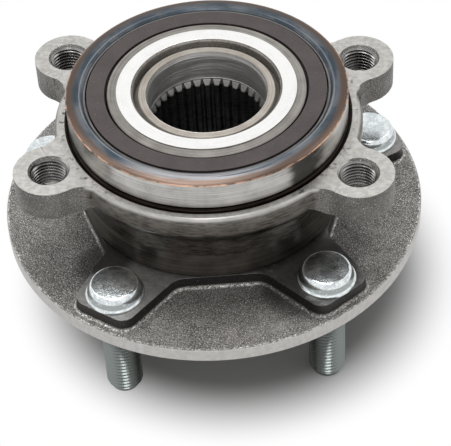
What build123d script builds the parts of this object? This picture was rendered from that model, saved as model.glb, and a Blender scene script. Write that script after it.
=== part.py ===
"""Driven wheel hub bearing with a splined flanged spindle and two angular-contact ball rows.

Millimetres.  The origin is the centre of the wheel face, the flat underside of the flange.
+Z runs along the bearing axis towards the steering knuckle, and the four knuckle ears
stand on a rectangle along X and Y.
"""

from build123d import *
from math import cos, radians, sin, sqrt, tan
import os

# ---------------------------------------------------------------- wheel flange and its pads
flange_r = 69.5
disc_t = 5.2                # forged disc between the pads
pad_t = 9.6                 # machined pads that carry the stud heads
rim_bevel = 0.5
stud_count = 5
stud_circle_r = 57.15
first_stud_angle = -119.4
pad_end = 66.8              # distance from the axis to a pad's outer edge
pad_end_half = 10.6
valley = 42.6               # distance from the axis to the straight edge between two pads
valley_half = 13.8
pad_corner_r = 5.0
valley_corner_r = 6.0
pad_draft = 8.0
pad_foot_r = 1.2

# ---------------------------------------------------------------- wheel and brake disc pilot
disc_pilot_r = 34.0
wheel_pilot_r = 33.5
disc_pilot_z = -6.2         # end of the brake disc's register
pilot_end_z = -13.0
pilot_nose = 1.8
pilot_step = 0.5
pilot_mouth_r = 30.0
nut_seat_r = 27.0
nut_seat_z = -2.0
nut_seat_corner_r = 2.0
relief_w = 1.5
relief_depth = 0.5

# ---------------------------------------------------------------- ball rows
journal_r = 23.6            # spindle's seat for the inner ring
inner_ring_wall = 4.0       # from the journal to the raceways' low shoulder
shoulder_rise = 4.4         # high shoulder over the low one
shoulder_gap = 1.0          # from the high shoulder to the ball centres
land_rise = 3.2             # outer ring's land, from the ball centres
heel_rise = 5.3             # outer ring's low shoulder, from the ball centres
ball_count = 14
ball_r = 5.95
contact_angle = 40.0
groove_ratio = 1.04         # groove radius over ball radius
ball_clearance = 0.07
row_gap = 18.2
inboard_row_depth = 12.6    # from the spigot's end to the inboard row

# ---------------------------------------------------------------- outer ring
knuckle_face_z = 41.9
seal_step = 1.2             # seal bore over the low shoulder
barrel_wall = 3.8           # machined band at the outboard end
forged_skin = 0.6           # left as forged above the band
spigot_wall = 5.6
knuckle_land = 4.7          # mounting face between two ears
spigot_rise = 10.9
spigot_bevel_r = 1.2
spigot_bevel_z = 0.7
undercut_r = 1.1
undercut_out = 0.2          # undercut's centre, outside the spigot and above the face
undercut_up = 0.4
ring_gap = 1.2              # between the pads and the ring's outboard end
ring_bevel = 0.5
mouth_bevel = 0.7
barrel_band_h = 9.4
plate_edge_t = 6.0
plate_round_r = 4.0
plate_web_turn = 60.0       # slope of the web under the plate, from the axis
barrel_sweep_r = 6.5
ear_r = 11.3
ear_t = 10.7
ear_spacing_x = 97.0
ear_spacing_y = 55.0
ear_neck_r = 8.0
ear_foot_r = 11.8           # flat round a hole at the ear's lower face, where the web starts
ear_slope = 57.0            # of the web's underside, from the hole's axis
ear_edge_r = 0.8
ear_hole_r = 6.05
ear_sink_r = 6.7

# ---------------------------------------------------------------- spindle and inner ring
inner_face_drop = 0.1       # inner ring's end below the spigot's end
spindle_drop = 1.7          # spindle's end below the inner ring's end
inner_ring_l = 22.2
ground_face_w = 4.55        # ground part of the inner ring's end
ground_face_t = 0.35
shoulder_bevel = 0.3
inner_bore_bevel = 0.7
spindle_bevel_r = 1.75
spindle_bevel_z = 2.4
seat_relief_r = 0.6
land_fillet_r = 3.0
edge_break = 0.3

# ---------------------------------------------------------------- splined bore
counterbore_r = 19.18
counterbore_l = 10.6
bore_lead_r = 0.4
bore_lead_l = 1.8
spline_teeth = 36
spline_major_r = 19.0
spline_minor_r = 17.9
spline_root_w = 0.6
spline_flank_angle = 31.0
spline_lead_l = 2.8
spline_exit_bevel = 0.8

# ---------------------------------------------------------------- seals and speed encoder
sheet_t = 0.6
slinger_t = 0.6
slinger_bend_r = 0.55
lip_clearance = 0.08
seal_row_gap = 0.5          # between a seal case and its ball row's end of the bore
inboard_case_l = 5.35
outboard_case_l = 4.2
case_reach = 2.8            # from the seals' land to the inner edge of a case's flange
slinger_top_drop = 1.2      # slinger's outer face below the inner ring's end
slinger_l = 4.6
slinger_gap = 1.4           # between the slinger's rim and the seal bore
encoder_t = 0.9
encoder_inset = 0.1
encoder_skirt_t = 0.25      # rubber round the slinger's rim
encoder_wrap = 0.6
lip_w = 0.55

# ---------------------------------------------------------------- cages
cage_half_w = 2.6
cage_web = 1.6
cage_reach = 3.0            # past the ball centres, so that the pockets hold the balls
pocket_clearance = 0.12
finger_slot_w = 1.2
finger_slot_l = 2.4

# ---------------------------------------------------------------- wheel studs
stud_thread_r = 6.0
stud_knurl_r = 6.25
stud_tip_z = -33.4
stud_tip_r = 4.6
stud_tip_l = 1.6
stud_tip_bevel = 1.2
stud_neck_l = 1.0
head_skirt_r = 9.33
head_skirt_t = 0.9
head_foot_r = 8.9
head_side_r = 8.3
head_side_h = 3.4
head_top_r = 6.1
head_h = 5.7

# ---------------------------------------------------------------- cutters
cut_past = 1.0              # how far a cutter runs past the faces that it opens

# ---------------------------------------------------------------- sizes that follow
heel_r = journal_r + inner_ring_wall
shoulder_r = heel_r + shoulder_rise
pitch_r = shoulder_r + shoulder_gap
outer_land_r = pitch_r + land_rise
outer_heel_r = pitch_r + heel_rise
seal_bore_r = outer_heel_r + seal_step
barrel_r = seal_bore_r + barrel_wall
forged_r = barrel_r + forged_skin
spigot_r = seal_bore_r + spigot_wall
plate_r = spigot_r + knuckle_land
spigot_end_z = knuckle_face_z + spigot_rise
inboard_row_z = spigot_end_z - inboard_row_depth
outboard_row_z = inboard_row_z - row_gap
ring_end_z = pad_t + ring_gap
inner_face_z = spigot_end_z - inner_face_drop
inner_seat_z = inner_face_z - inner_ring_l
spindle_end_z = inner_face_z - spindle_drop
counterbore_z = spindle_end_z - counterbore_l
slinger_top_z = inner_face_z - slinger_top_drop
groove_r = ball_r * groove_ratio
groove_shift = groove_r - ball_r - ball_clearance
pocket_r = ball_r + pocket_clearance
heel_l = ball_r + seal_row_gap      # from a row's centre to its seal's seat
case_flange_r = shoulder_r + case_reach
slinger_sleeve_r = shoulder_r + slinger_t
slinger_r = seal_bore_r - slinger_gap
encoder_r = slinger_r + encoder_skirt_t


def turned(*edges):
    """Revolve the closed outline of (radius, height) edges about Z."""
    return revolve(Plane.XZ * make_face(Wire(edges)), Axis.Z)


def path(*points):
    """Straight edges through (radius, height) points."""
    return Polyline(*points).edges()


def groove_point(row_z, side, outer, land_r):
    """Centre of a raceway groove, and the height over it where the groove meets its land.

    side is +1 where the row's seal is above it and -1 where it is below.
    """
    way = -1 if outer else 1
    centre_r = pitch_r + way * groove_shift * cos(radians(contact_angle))
    centre_z = row_z - side * way * groove_shift * sin(radians(contact_angle))
    return centre_r, centre_z, sqrt(groove_r ** 2 - (land_r - centre_r) ** 2)


def groove_edge(row_z, side, outer, start_r, end_r):
    """Arc of a raceway groove, from the land of start_r above to that of end_r below."""
    centre_r, centre_z, up = groove_point(row_z, side, outer, start_r)
    down = groove_point(row_z, side, outer, end_r)[2]
    bottom_r = centre_r + (groove_r if outer else -groove_r)
    return ThreePointArc((start_r, centre_z + up), (bottom_r, centre_z), (end_r, centre_z - down))


def outer_bore():
    """Bore of the outer ring, from the seal bore above to the one below."""
    upper = groove_edge(inboard_row_z, 1, True, outer_heel_r, outer_land_r)
    lower = groove_edge(outboard_row_z, -1, True, outer_land_r, outer_heel_r)
    top_seat = inboard_row_z + heel_l
    low_seat = outboard_row_z - heel_l
    return [
        *path(
            (seal_bore_r + mouth_bevel, spigot_end_z),
            (seal_bore_r, spigot_end_z - mouth_bevel),
            (seal_bore_r, top_seat),
            (outer_heel_r, top_seat),
            upper @ 0,
        ),
        upper,
        *path(upper @ 1, lower @ 0),
        lower,
        *path(
            lower @ 1,
            (outer_heel_r, low_seat),
            (seal_bore_r, low_seat),
            (seal_bore_r, ring_end_z + mouth_bevel),
            (seal_bore_r + mouth_bevel, ring_end_z),
        ),
    ]


def outer_profile():
    """Barrel, plate edge, undercut and spigot, from the outboard end up."""
    band_z = ring_end_z + barrel_band_h
    turn = radians(plate_web_turn)
    rounding = JernArc(
        (plate_r, knuckle_face_z - plate_edge_t), (0, -1), plate_round_r, -plate_web_turn
    )
    web_r = forged_r + barrel_sweep_r * (1 - cos(turn))
    web_z = (rounding @ 1).Y - ((rounding @ 1).X - web_r) / tan(turn)
    sweep = JernArc(
        (forged_r, web_z - barrel_sweep_r * sin(turn)), (0, 1), barrel_sweep_r, -plate_web_turn
    )
    undercut = spigot_undercut()
    return [
        *path(
            (seal_bore_r + mouth_bevel, ring_end_z),
            (barrel_r - ring_bevel, ring_end_z),
            (barrel_r, ring_end_z + ring_bevel),
            (barrel_r, band_z),
            (forged_r, band_z + forged_skin),
            sweep @ 0,
        ),
        sweep,
        *path(sweep @ 1, rounding @ 1),
        rounding,
        *path(rounding @ 0, (plate_r, knuckle_face_z), undercut @ 0),
        undercut,
        *path(
            undercut @ 1,
            (spigot_r, spigot_end_z - spigot_bevel_z),
            (spigot_r - spigot_bevel_r, spigot_end_z),
            (seal_bore_r + mouth_bevel, spigot_end_z),
        ),
    ]


def spigot_undercut():
    """Relief groove in the corner between the mounting face and the spigot."""
    centre_r = spigot_r + undercut_out
    centre_z = knuckle_face_z + undercut_up
    half = undercut_r * sqrt(0.5)
    return ThreePointArc(
        (centre_r + sqrt(undercut_r ** 2 - undercut_up ** 2), knuckle_face_z),
        (centre_r - half, centre_z - half),
        (spigot_r, centre_z + sqrt(undercut_r ** 2 - undercut_out ** 2)),
    )


def ear_outline():
    """Plan of the mounting plate with its four ears and their necks."""
    plan = Circle(plate_r) + [place * Circle(ear_r) for place in ear_places()]
    return fillet(plan.vertices(), ear_neck_r)


def ear_places():
    """Centres of the four ears, on a rectangle along X and Y."""
    return GridLocations(ear_spacing_x, ear_spacing_y, 2, 2)


def ear_slab(plan):
    """Blank the four ears are cut from, its lower outline rounded."""
    slab = extrude(plan - Circle(barrel_r), ear_t - plate_edge_t / 2)
    foot = slab.faces().sort_by(Axis.Z)[0]
    return fillet(foot.outer_wire().edges(), ear_edge_r)


def ear_block(slab, place):
    """Deep part of one ear, whose underside slopes up to the plate round the hole's axis."""
    height = ear_t - plate_edge_t / 2
    top_r = ear_foot_r + height * tan(radians(ear_slope))
    under = Pos(0, 0, height / 2) * Cone(ear_foot_r, top_r, height)
    return Pos(0, 0, knuckle_face_z - ear_t) * (slab & place * under)


def threaded_hole(place):
    """Cutter for one threaded knuckle hole, countersunk at the mounting face."""
    sink = ear_sink_r - ear_hole_r
    hole = Cylinder(ear_hole_r, 2 * (ear_t + cut_past))
    mouth = Pos(0, 0, -sink / 2) * Cone(ear_hole_r, ear_sink_r, sink)
    return Pos(0, 0, knuckle_face_z) * place * (hole + mouth)


def outer_ring():
    """Stationary ring: spigot, plate with four threaded ears, barrel and two raceways."""
    plan = ear_outline()
    ring = turned(*outer_profile(), *outer_bore())
    rim = plan - Circle(plate_r - plate_round_r)
    ring += Pos(0, 0, knuckle_face_z - plate_edge_t) * extrude(rim, plate_edge_t)
    slab = ear_slab(plan)
    for place in ear_places():
        ring += ear_block(slab, place)
    for place in ear_places():
        ring -= threaded_hole(place)
    return ring


def spindle_profile():
    """Half section of the hub: pilot, flange, raceway and journal round the plain bore."""
    groove = groove_edge(outboard_row_z, -1, False, heel_r, shoulder_r)
    corner = pad_t + land_fillet_r
    land_fillet = ThreePointArc(
        (shoulder_r, corner),
        (
            shoulder_r + land_fillet_r * (1 - sqrt(0.5)),
            corner - land_fillet_r * sqrt(0.5),
        ),
        (shoulder_r + land_fillet_r, pad_t),
    )
    cup_corner = ThreePointArc(
        (nut_seat_r, nut_seat_z),
        (
            nut_seat_r + nut_seat_corner_r * sqrt(0.5),
            nut_seat_z - nut_seat_corner_r * (1 - sqrt(0.5)),
        ),
        (nut_seat_r + nut_seat_corner_r, nut_seat_z - nut_seat_corner_r),
    )
    return [
        *path(
            (spline_minor_r, nut_seat_z + spline_exit_bevel),
            (spline_minor_r + spline_exit_bevel, nut_seat_z),
            cup_corner @ 0,
        ),
        cup_corner,
        *path(
            cup_corner @ 1,
            (pilot_mouth_r, pilot_end_z),
            (wheel_pilot_r - pilot_nose / 2, pilot_end_z),
            (wheel_pilot_r, pilot_end_z + pilot_nose),
            (wheel_pilot_r, disc_pilot_z - pilot_step),
            (disc_pilot_r, disc_pilot_z),
            (disc_pilot_r, -relief_w),
            (disc_pilot_r - relief_depth, -relief_w + relief_depth),
            (disc_pilot_r - relief_depth, relief_depth),
            (disc_pilot_r + relief_w, relief_depth),
            (disc_pilot_r + relief_w, 0),
            (flange_r - rim_bevel, 0),
            (flange_r, rim_bevel),
            (flange_r, disc_t - rim_bevel),
            (flange_r - rim_bevel, disc_t),
            (shoulder_r + land_fillet_r, disc_t),
            land_fillet @ 1,
        ),
        land_fillet,
        *path(land_fillet @ 0, groove @ 1),
        groove,
        *path(
            groove @ 0,
            (heel_r, inner_seat_z - edge_break),
            (heel_r - edge_break, inner_seat_z),
            (journal_r + seat_relief_r, inner_seat_z),
            (journal_r + seat_relief_r, inner_seat_z - seat_relief_r),
            (journal_r - seat_relief_r / 2, inner_seat_z - seat_relief_r),
            (journal_r - seat_relief_r / 2, inner_seat_z + seat_relief_r),
            (journal_r, inner_seat_z + 2 * seat_relief_r),
            (journal_r, spindle_end_z - spindle_bevel_z),
            (journal_r - spindle_bevel_r, spindle_end_z),
            (counterbore_r + bore_lead_r, spindle_end_z),
            (counterbore_r, spindle_end_z - bore_lead_l),
            (counterbore_r, counterbore_z),
            (spline_minor_r, counterbore_z - spline_lead_l),
            (spline_minor_r, nut_seat_z + spline_exit_bevel),
        ),
    ]


def star_outline():
    """Plan of the five machined pads, joined by straight valleys."""
    points = []
    for pad in stud_places():
        corners = (
            (valley, -valley_half),
            (pad_end, -pad_end_half),
            (pad_end, pad_end_half),
            (valley, valley_half),
        )
        points += [(pad * Pos(x, y, 0)).position for x, y in corners]
    star = make_face(Polyline(*points, close=True))
    reach = Vector(valley, valley_half, 0).length + pad_corner_r / 2
    outer = [v for v in star.vertices() if Vector(v.X, v.Y, 0).length > reach]
    star = fillet(outer, pad_corner_r)
    inner = [v for v in star.vertices() if Vector(v.X, v.Y, 0).length < reach]
    return fillet(inner, valley_corner_r)


def stud_places():
    """Turned frames of the five studs, with X running outward through each stud."""
    return [Rot(0, 0, first_stud_angle + k * 360 / stud_count) for k in range(stud_count)]


def star_pads():
    """The raised star that carries the stud heads, with drafted sides."""
    star = Pos(0, 0, disc_t) * extrude(star_outline(), pad_t - disc_t, taper=pad_draft)
    core = Cylinder(shoulder_r + land_fillet_r / 2, 2 * (pad_t + cut_past))
    return star - core


def spline_bore():
    """Cutter for the internal splines, with straight flanks from the root to the crest."""
    depth = spline_major_r - spline_minor_r + cut_past
    mouth_w = spline_root_w + 2 * depth * tan(radians(spline_flank_angle))
    space = Polygon(
        (spline_major_r, -spline_root_w / 2),
        (spline_major_r, spline_root_w / 2),
        (spline_major_r - depth, mouth_w / 2),
        (spline_major_r - depth, -mouth_w / 2),
        align=None,
    )
    spaces = Circle(spline_major_r - depth / 2) + [turn * space for turn in PolarLocations(0, spline_teeth)]
    return Pos(0, 0, pilot_end_z) * extrude(spaces, counterbore_z - pilot_end_z)


def hub():
    """Flanged spindle with its star of pads, stud holes, raceway and splined bore."""
    body = turned(*spindle_profile()) + star_pads()
    body = fillet(star_foot_edges(body), pad_foot_r)
    for pad in stud_places():
        body -= pad * Pos(stud_circle_r, 0, 0) * Cylinder(stud_knurl_r, 2 * (pad_t + cut_past))
    return body - spline_bore()


def star_foot_edges(body):
    """Edges where the star's sides stand on the forged disc."""
    level = [e for e in body.edges() if abs(e.center().Z - disc_t) < rim_bevel / 4]
    return [e for e in level if shoulder_r + land_fillet_r < radius_of(e.center()) < flange_r - 2 * rim_bevel]


def radius_of(point):
    """Distance of a point from the bearing axis."""
    return sqrt(point.X ** 2 + point.Y ** 2)


def inner_ring():
    """Separate inner ring of the inboard row, pressed on the spindle's journal."""
    groove = groove_edge(inboard_row_z, 1, False, shoulder_r, heel_r)
    ground_r = journal_r + inner_bore_bevel + ground_face_w
    rim_z = inner_face_z - ground_face_t
    return turned(
        *path(
            (journal_r, inner_seat_z + edge_break),
            (journal_r, inner_face_z - inner_bore_bevel),
            (journal_r + inner_bore_bevel, inner_face_z),
            (ground_r, inner_face_z),
            (ground_r, rim_z),
            (shoulder_r - shoulder_bevel, rim_z),
            (shoulder_r, rim_z - shoulder_bevel),
            groove @ 0,
        ),
        groove,
        *path(
            groove @ 1,
            (heel_r, inner_seat_z + edge_break),
            (heel_r - edge_break, inner_seat_z),
            (journal_r + edge_break, inner_seat_z),
            (journal_r, inner_seat_z + edge_break),
        ),
    )


def row_turns(row_z, phase):
    """Frames of one ball row, with X running outward through each ball's centre."""
    step = 360 / ball_count
    return [Pos(0, 0, row_z) * Rot(0, 0, (k + phase) * step) for k in range(ball_count)]


def ball(turn):
    """One ball in its row."""
    return turn * Pos(pitch_r, 0, 0) * Sphere(ball_r)


def cage(row_z, side, phase):
    """Snap cage: a web on the far side from the seal, with pockets that grip the balls."""
    low = -(pocket_r + cage_web)
    ring = turned(
        *path(
            (pitch_r - cage_half_w, low),
            (pitch_r + cage_half_w, low),
            (pitch_r + cage_half_w, cage_reach),
            (pitch_r - cage_half_w, cage_reach),
            (pitch_r - cage_half_w, low),
        )
    )
    step = 360 / ball_count
    slot = Box(4 * cage_half_w, finger_slot_w, 2 * finger_slot_l)
    for k in range(ball_count):
        ring -= Rot(0, 0, k * step) * Pos(pitch_r, 0, 0) * Sphere(pocket_r)
        ring -= Rot(0, 0, (k + 0.5) * step) * Pos(pitch_r, 0, cage_reach) * slot
    if side < 0:
        ring = mirror(ring, Plane.XY)
    return Pos(0, 0, row_z) * Rot(0, 0, phase * step) * ring


def seal_case(row_z, side, length):
    """Pressed steel case of a seal: a sleeve in the seal bore and a flange inward."""
    seat = row_z + side * heel_l
    end = seat + side * length
    return turned(
        *path(
            (seal_bore_r, seat),
            (seal_bore_r, end),
            (seal_bore_r - sheet_t, end),
            (seal_bore_r - sheet_t, seat + side * sheet_t),
            (case_flange_r, seat + side * sheet_t),
            (case_flange_r, seat),
            (seal_bore_r, seat),
        )
    )


def inboard_seal_lip():
    """Rubber of the inboard seal: a radial lip on the slinger's sleeve and an axial one."""
    seat = inboard_row_z + heel_l
    contact_r = slinger_sleeve_r + lip_clearance
    under_z = slinger_top_z - slinger_t - lip_clearance
    return seal_lip(seat, 1, contact_r, (case_flange_r + lip_w, under_z))


def outboard_seal_lip():
    """Rubber of the outboard seal: a radial lip on the hub's land and an axial one."""
    seat = outboard_row_z - heel_l
    contact_r = shoulder_r + lip_clearance
    tip_r = case_flange_r + 2 * lip_w
    return seal_lip(seat, -1, contact_r, (tip_r, pad_t + lip_clearance))


def seal_lip(seat, side, contact_r, tip):
    """Two lips on a case's inner edge: one meets contact_r, the other ends at the tip.

    The section is drawn in lip widths, from the case's inner edge at the height seat.
    side is +1 where the seal closes the ring's upper end and -1 at its lower end.
    """
    rise = side * lip_w
    root_r = case_flange_r - 2 * lip_w
    return turned(
        *path(
            (case_flange_r, seat),
            (root_r, seat),
            (contact_r, seat + 2 * rise),
            (contact_r, seat + 3 * rise),
            (root_r, seat + 2 * rise),
            (case_flange_r - lip_w, seat + 3 * rise),
            tip,
            (tip[0] + lip_w, tip[1]),
            (case_flange_r, seat + side * sheet_t + rise),
            (case_flange_r, seat),
        )
    )


def encoder_slinger():
    """Turning steel ring of the inboard seal: a sleeve on the inner ring and a flange."""
    half = slinger_bend_r * (1 - sqrt(0.5))
    bend = ThreePointArc(
        (shoulder_r, slinger_top_z - slinger_bend_r),
        (shoulder_r + half, slinger_top_z - half),
        (shoulder_r + slinger_bend_r, slinger_top_z),
    )
    return turned(
        bend,
        *path(
            bend @ 1,
            (slinger_r, slinger_top_z),
            (slinger_r, slinger_top_z - slinger_t),
            (slinger_sleeve_r, slinger_top_z - slinger_t),
            (slinger_sleeve_r, slinger_top_z - slinger_l),
            (shoulder_r, slinger_top_z - slinger_l),
            bend @ 0,
        ),
    )


def encoder_ring():
    """Magnetic rubber ring on the slinger's face, wrapped over its rim."""
    inner_r = slinger_sleeve_r + encoder_inset
    return turned(
        *path(
            (inner_r, slinger_top_z),
            (slinger_r, slinger_top_z),
            (slinger_r, slinger_top_z - encoder_wrap),
            (encoder_r, slinger_top_z - encoder_wrap),
            (encoder_r, slinger_top_z + encoder_t),
            (inner_r, slinger_top_z + encoder_t),
            (inner_r, slinger_top_z),
        )
    )


def wheel_stud(pad):
    """Pressed-in stud with a domed head on its pad and the thread's envelope below."""
    crown = ThreePointArc(
        (head_side_r, pad_t + head_side_h),
        (
            head_top_r + (head_side_r - head_top_r) * sqrt(0.5),
            pad_t + head_side_h + (head_h - head_side_h) * sqrt(0.5),
        ),
        (head_top_r, pad_t + head_h),
    )
    stud = turned(
        *path(
            (0, stud_tip_z),
            (stud_tip_r, stud_tip_z),
            (stud_tip_r, stud_tip_z + stud_tip_l),
            (stud_thread_r, stud_tip_z + stud_tip_l + stud_tip_bevel),
            (stud_thread_r, 0),
            (stud_knurl_r, stud_neck_l),
            (stud_knurl_r, pad_t),
            (head_skirt_r, pad_t),
            (head_skirt_r, pad_t + head_skirt_t),
            (head_foot_r, pad_t + head_skirt_t),
            crown @ 0,
        ),
        crown,
        *path(crown @ 1, (0, pad_t + head_h), (0, stud_tip_z)),
    )
    return pad * Pos(stud_circle_r, 0, 0) * stud


def main():
    """Build every piece and write one STEP file for each."""
    pieces = {
        "outer_ring": outer_ring(),
        "hub": hub(),
        "inner_ring": inner_ring(),
        "encoder_slinger": encoder_slinger(),
        "encoder_ring": encoder_ring(),
        "inboard_seal_case": seal_case(inboard_row_z, 1, inboard_case_l),
        "inboard_seal_lip": inboard_seal_lip(),
        "outboard_seal_case": seal_case(outboard_row_z, -1, outboard_case_l),
        "outboard_seal_lip": outboard_seal_lip(),
        "inboard_cage": cage(inboard_row_z, 1, 0),
        "outboard_cage": cage(outboard_row_z, -1, 0.5),
    }
    for number, pad in enumerate(stud_places(), 1):
        pieces[f"wheel_stud_{number}"] = wheel_stud(pad)
    for row, row_z, phase in (("inboard", inboard_row_z, 0), ("outboard", outboard_row_z, 0.5)):
        for number, turn in enumerate(row_turns(row_z, phase), 1):
            pieces[f"{row}_ball_{number:02d}"] = ball(turn)
    os.makedirs("parts", exist_ok=True)
    for name, shape in pieces.items():
        export_step(shape, f"parts/{name}.step")


main()
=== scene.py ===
"""Looks of a driven wheel hub bearing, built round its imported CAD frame.

Every length below is in millimetres unless its name says otherwise, and is turned into
metres when a mesh or a node is made.  The bearing axis is Z, with the knuckle side up.
"""

import logging
from abc import ABC, abstractmethod
from dataclasses import dataclass
from enum import Enum
from math import acos, atan2, cos, hypot, pi, radians, sin, sqrt
from typing import Callable, Sequence

import bmesh
import bpy
from mathutils import Matrix, Vector


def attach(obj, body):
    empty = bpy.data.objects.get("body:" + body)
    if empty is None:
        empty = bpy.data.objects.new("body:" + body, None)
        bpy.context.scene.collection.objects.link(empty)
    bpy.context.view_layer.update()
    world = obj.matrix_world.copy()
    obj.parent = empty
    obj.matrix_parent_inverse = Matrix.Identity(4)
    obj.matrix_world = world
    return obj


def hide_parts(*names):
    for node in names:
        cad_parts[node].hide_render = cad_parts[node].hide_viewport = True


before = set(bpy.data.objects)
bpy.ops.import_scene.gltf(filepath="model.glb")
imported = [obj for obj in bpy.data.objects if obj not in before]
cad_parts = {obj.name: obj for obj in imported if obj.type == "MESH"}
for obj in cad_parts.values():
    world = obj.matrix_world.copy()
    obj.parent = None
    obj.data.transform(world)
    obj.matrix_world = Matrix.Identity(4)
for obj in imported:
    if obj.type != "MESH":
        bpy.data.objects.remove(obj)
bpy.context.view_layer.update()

MM = 0.001
WELD = MM / 1000
IMAGE_WIDTH = 451
IMAGE_HEIGHT = 446

LOG = logging.getLogger("wheel_hub")

Piece = bpy.types.Object
Socket = bpy.types.NodeSocket
Colour = tuple[float, float, float]
Point = tuple[float, float]


class Body(Enum):
    """CAD bodies that new pieces ride on."""

    OUTER = "outer"
    SPINDLE = "spindle"


class Slot(Enum):
    """Names of two material slots, which no piece here takes its finish from."""

    STEEL = "forged_steel"
    ZINC = "zinc_steel"


class Along(Enum):
    """Way that the marks of a turning tool are spaced."""

    AXIS = "axis"
    RADIUS = "radius"


# ---- shader maths


class Signal:
    """A number that varies over a surface.  Arithmetic on it adds Math nodes."""

    def __init__(self, sheet: "Sheet", socket: Socket) -> None:
        """Wrap a socket.

        Args:
            sheet: Node sheet that the socket belongs to.
            socket: Output that carries the number.
        """
        self.sheet = sheet
        self.socket = socket

    def math(self, operation: str, *others: "Signal | float", swap: bool = False) -> "Signal":
        """Add one Math node.

        Args:
            operation: Name of the Math operation.
            *others: Further operands, signals or plain numbers.
            swap: Puts this signal last.

        Returns:
            The result as a new signal.
        """
        values = [self, *others]
        if swap:
            values.reverse()
        node = self.sheet.node("ShaderNodeMath", {"operation": operation}, dict(enumerate(values)))
        return Signal(self.sheet, node.outputs[0])

    def __add__(self, other: "Signal | float") -> "Signal":
        """Sum."""
        return self.math("ADD", other)

    def __sub__(self, other: "Signal | float") -> "Signal":
        """Difference."""
        return self.math("SUBTRACT", other)

    def __rsub__(self, other: float) -> "Signal":
        """Difference from a number."""
        return self.math("SUBTRACT", other, swap=True)

    def __mul__(self, other: "Signal | float") -> "Signal":
        """Product."""
        return self.math("MULTIPLY", other)

    def __or__(self, other: "Signal | float") -> "Signal":
        """Either of two masks: the larger number."""
        return self.math("MAXIMUM", other)

    def rise(self, start: float, end: float) -> "Signal":
        """Soft step from 0 at start to 1 at end, either way round.

        Args:
            start: Value where the step begins.
            end: Value where the step is complete.

        Returns:
            The step as a mask.
        """
        sockets = {"Value": self, "From Min": start, "From Max": end}
        settings = {"interpolation_type": "SMOOTHSTEP", "clamp": True}
        node = self.sheet.node("ShaderNodeMapRange", settings, sockets)
        return Signal(self.sheet, node.outputs["Result"])

    def band(self, low: float, high: float, soft: float) -> "Signal":
        """Mask that is 1 between two values.

        Args:
            low: Lower edge.
            high: Upper edge.
            soft: Width of each edge, centred on it.

        Returns:
            The mask.
        """
        half = soft / 2
        return self.rise(low - half, low + half) * self.rise(high + half, high - half)


Value = Signal | Socket | float | Sequence[float]


class Sheet:
    """The node sheet of one material or of the world."""

    def __init__(self, owner: bpy.types.Material | bpy.types.World) -> None:
        """Empty the nodes of a material or world.

        Args:
            owner: What the nodes belong to.
        """
        owner.use_nodes = True
        self.tree = owner.node_tree
        self.tree.nodes.clear()

    def node(self, kind: str, settings: dict, sockets: dict) -> bpy.types.Node:
        """Add any node.

        Args:
            kind: Type name of the node.
            settings: Properties of the node.
            sockets: Value or link of each input, by name or number.

        Returns:
            The new node.
        """
        node = self.tree.nodes.new(kind)
        for key, value in settings.items():
            setattr(node, key, value)
        for key, value in sockets.items():
            self._feed(node.inputs[key], value)
        return node

    def _feed(self, socket: Socket, value: Value) -> None:
        """Link or set one input.

        Args:
            socket: The input.
            value: Signal, output socket, number or vector.
        """
        if isinstance(value, Signal):
            self.tree.links.new(value.socket, socket)
        elif isinstance(value, Socket):
            self.tree.links.new(value, socket)
        elif socket.type == "RGBA":
            socket.default_value = (*value, 1.0)
        else:
            socket.default_value = value

    def place(self) -> "Place":
        """Position on the part in millimetres.

        Returns:
            The place.
        """
        coords = self.node("ShaderNodeTexCoord", {}, {})
        split = self.node("ShaderNodeSeparateXYZ", {}, {0: coords.outputs["Object"]})
        x, y, z = (Signal(self, out) * (1 / MM) for out in split.outputs)
        return Place(self, x, y, z, (x * x + y * y).math("SQRT"))

    def noise(self, at: Value, size: float, detail: float = 3.0, rough: float = 0.55) -> Signal:
        """Smooth random number between 0 and 1.

        Args:
            at: Vector of millimetres that the pattern follows.
            size: Width of one blotch in millimetres.
            detail: Octaves of finer noise.
            rough: Strength of the finer octaves.

        Returns:
            The noise.
        """
        sockets = {"Vector": at, "Scale": 1 / size, "Detail": detail, "Roughness": rough}
        return Signal(self, self.node("ShaderNodeTexNoise", {}, sockets).outputs[0])

    def cells(self, at: Value, size: float) -> Signal:
        """Distance to the nearest of many random points, 0 at a point.

        Args:
            at: Vector of millimetres that the pattern follows.
            size: Average spacing of the points in millimetres.

        Returns:
            The distance, in spacings.
        """
        node = self.node("ShaderNodeTexVoronoi", {}, {"Vector": at, "Scale": 1 / size})
        return Signal(self, node.outputs["Distance"])

    def vector(self, x: Value, y: Value, z: Value) -> Socket:
        """Vector of three numbers.

        Args:
            x: First number.
            y: Second number.
            z: Third number.

        Returns:
            The vector.
        """
        return self.node("ShaderNodeCombineXYZ", {}, {0: x, 1: y, 2: z}).outputs[0]

    def ray(self, kind: str) -> Signal:
        """Mask of one kind of ray.

        Args:
            kind: Name of the kind, such as Camera.

        Returns:
            1 for a ray of that kind.
        """
        rays = self.node("ShaderNodeLightPath", {}, {})
        return Signal(self, rays.outputs[f"Is {kind} Ray"])

    def mix(self, mask: Value, low: Value, high: Value) -> Socket:
        """Blend two colours.

        Args:
            mask: 0 for the first colour and 1 for the second.
            low: First colour.
            high: Second colour.

        Returns:
            The blended colour.
        """
        node = self.node("ShaderNodeMix", {"data_type": "RGBA"}, {0: mask, 6: low, 7: high})
        return node.outputs[2]


@dataclass(frozen=True)
class Spot:
    """Round patch about an upright line, with a soft edge.

    Attributes:
        x: Place of the line along X.
        y: Place of the line along Y.
        none_r: Radius at which the patch is 0.
        full_r: Radius at which it is 1.
    """

    x: float
    y: float
    none_r: float
    full_r: float


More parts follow.
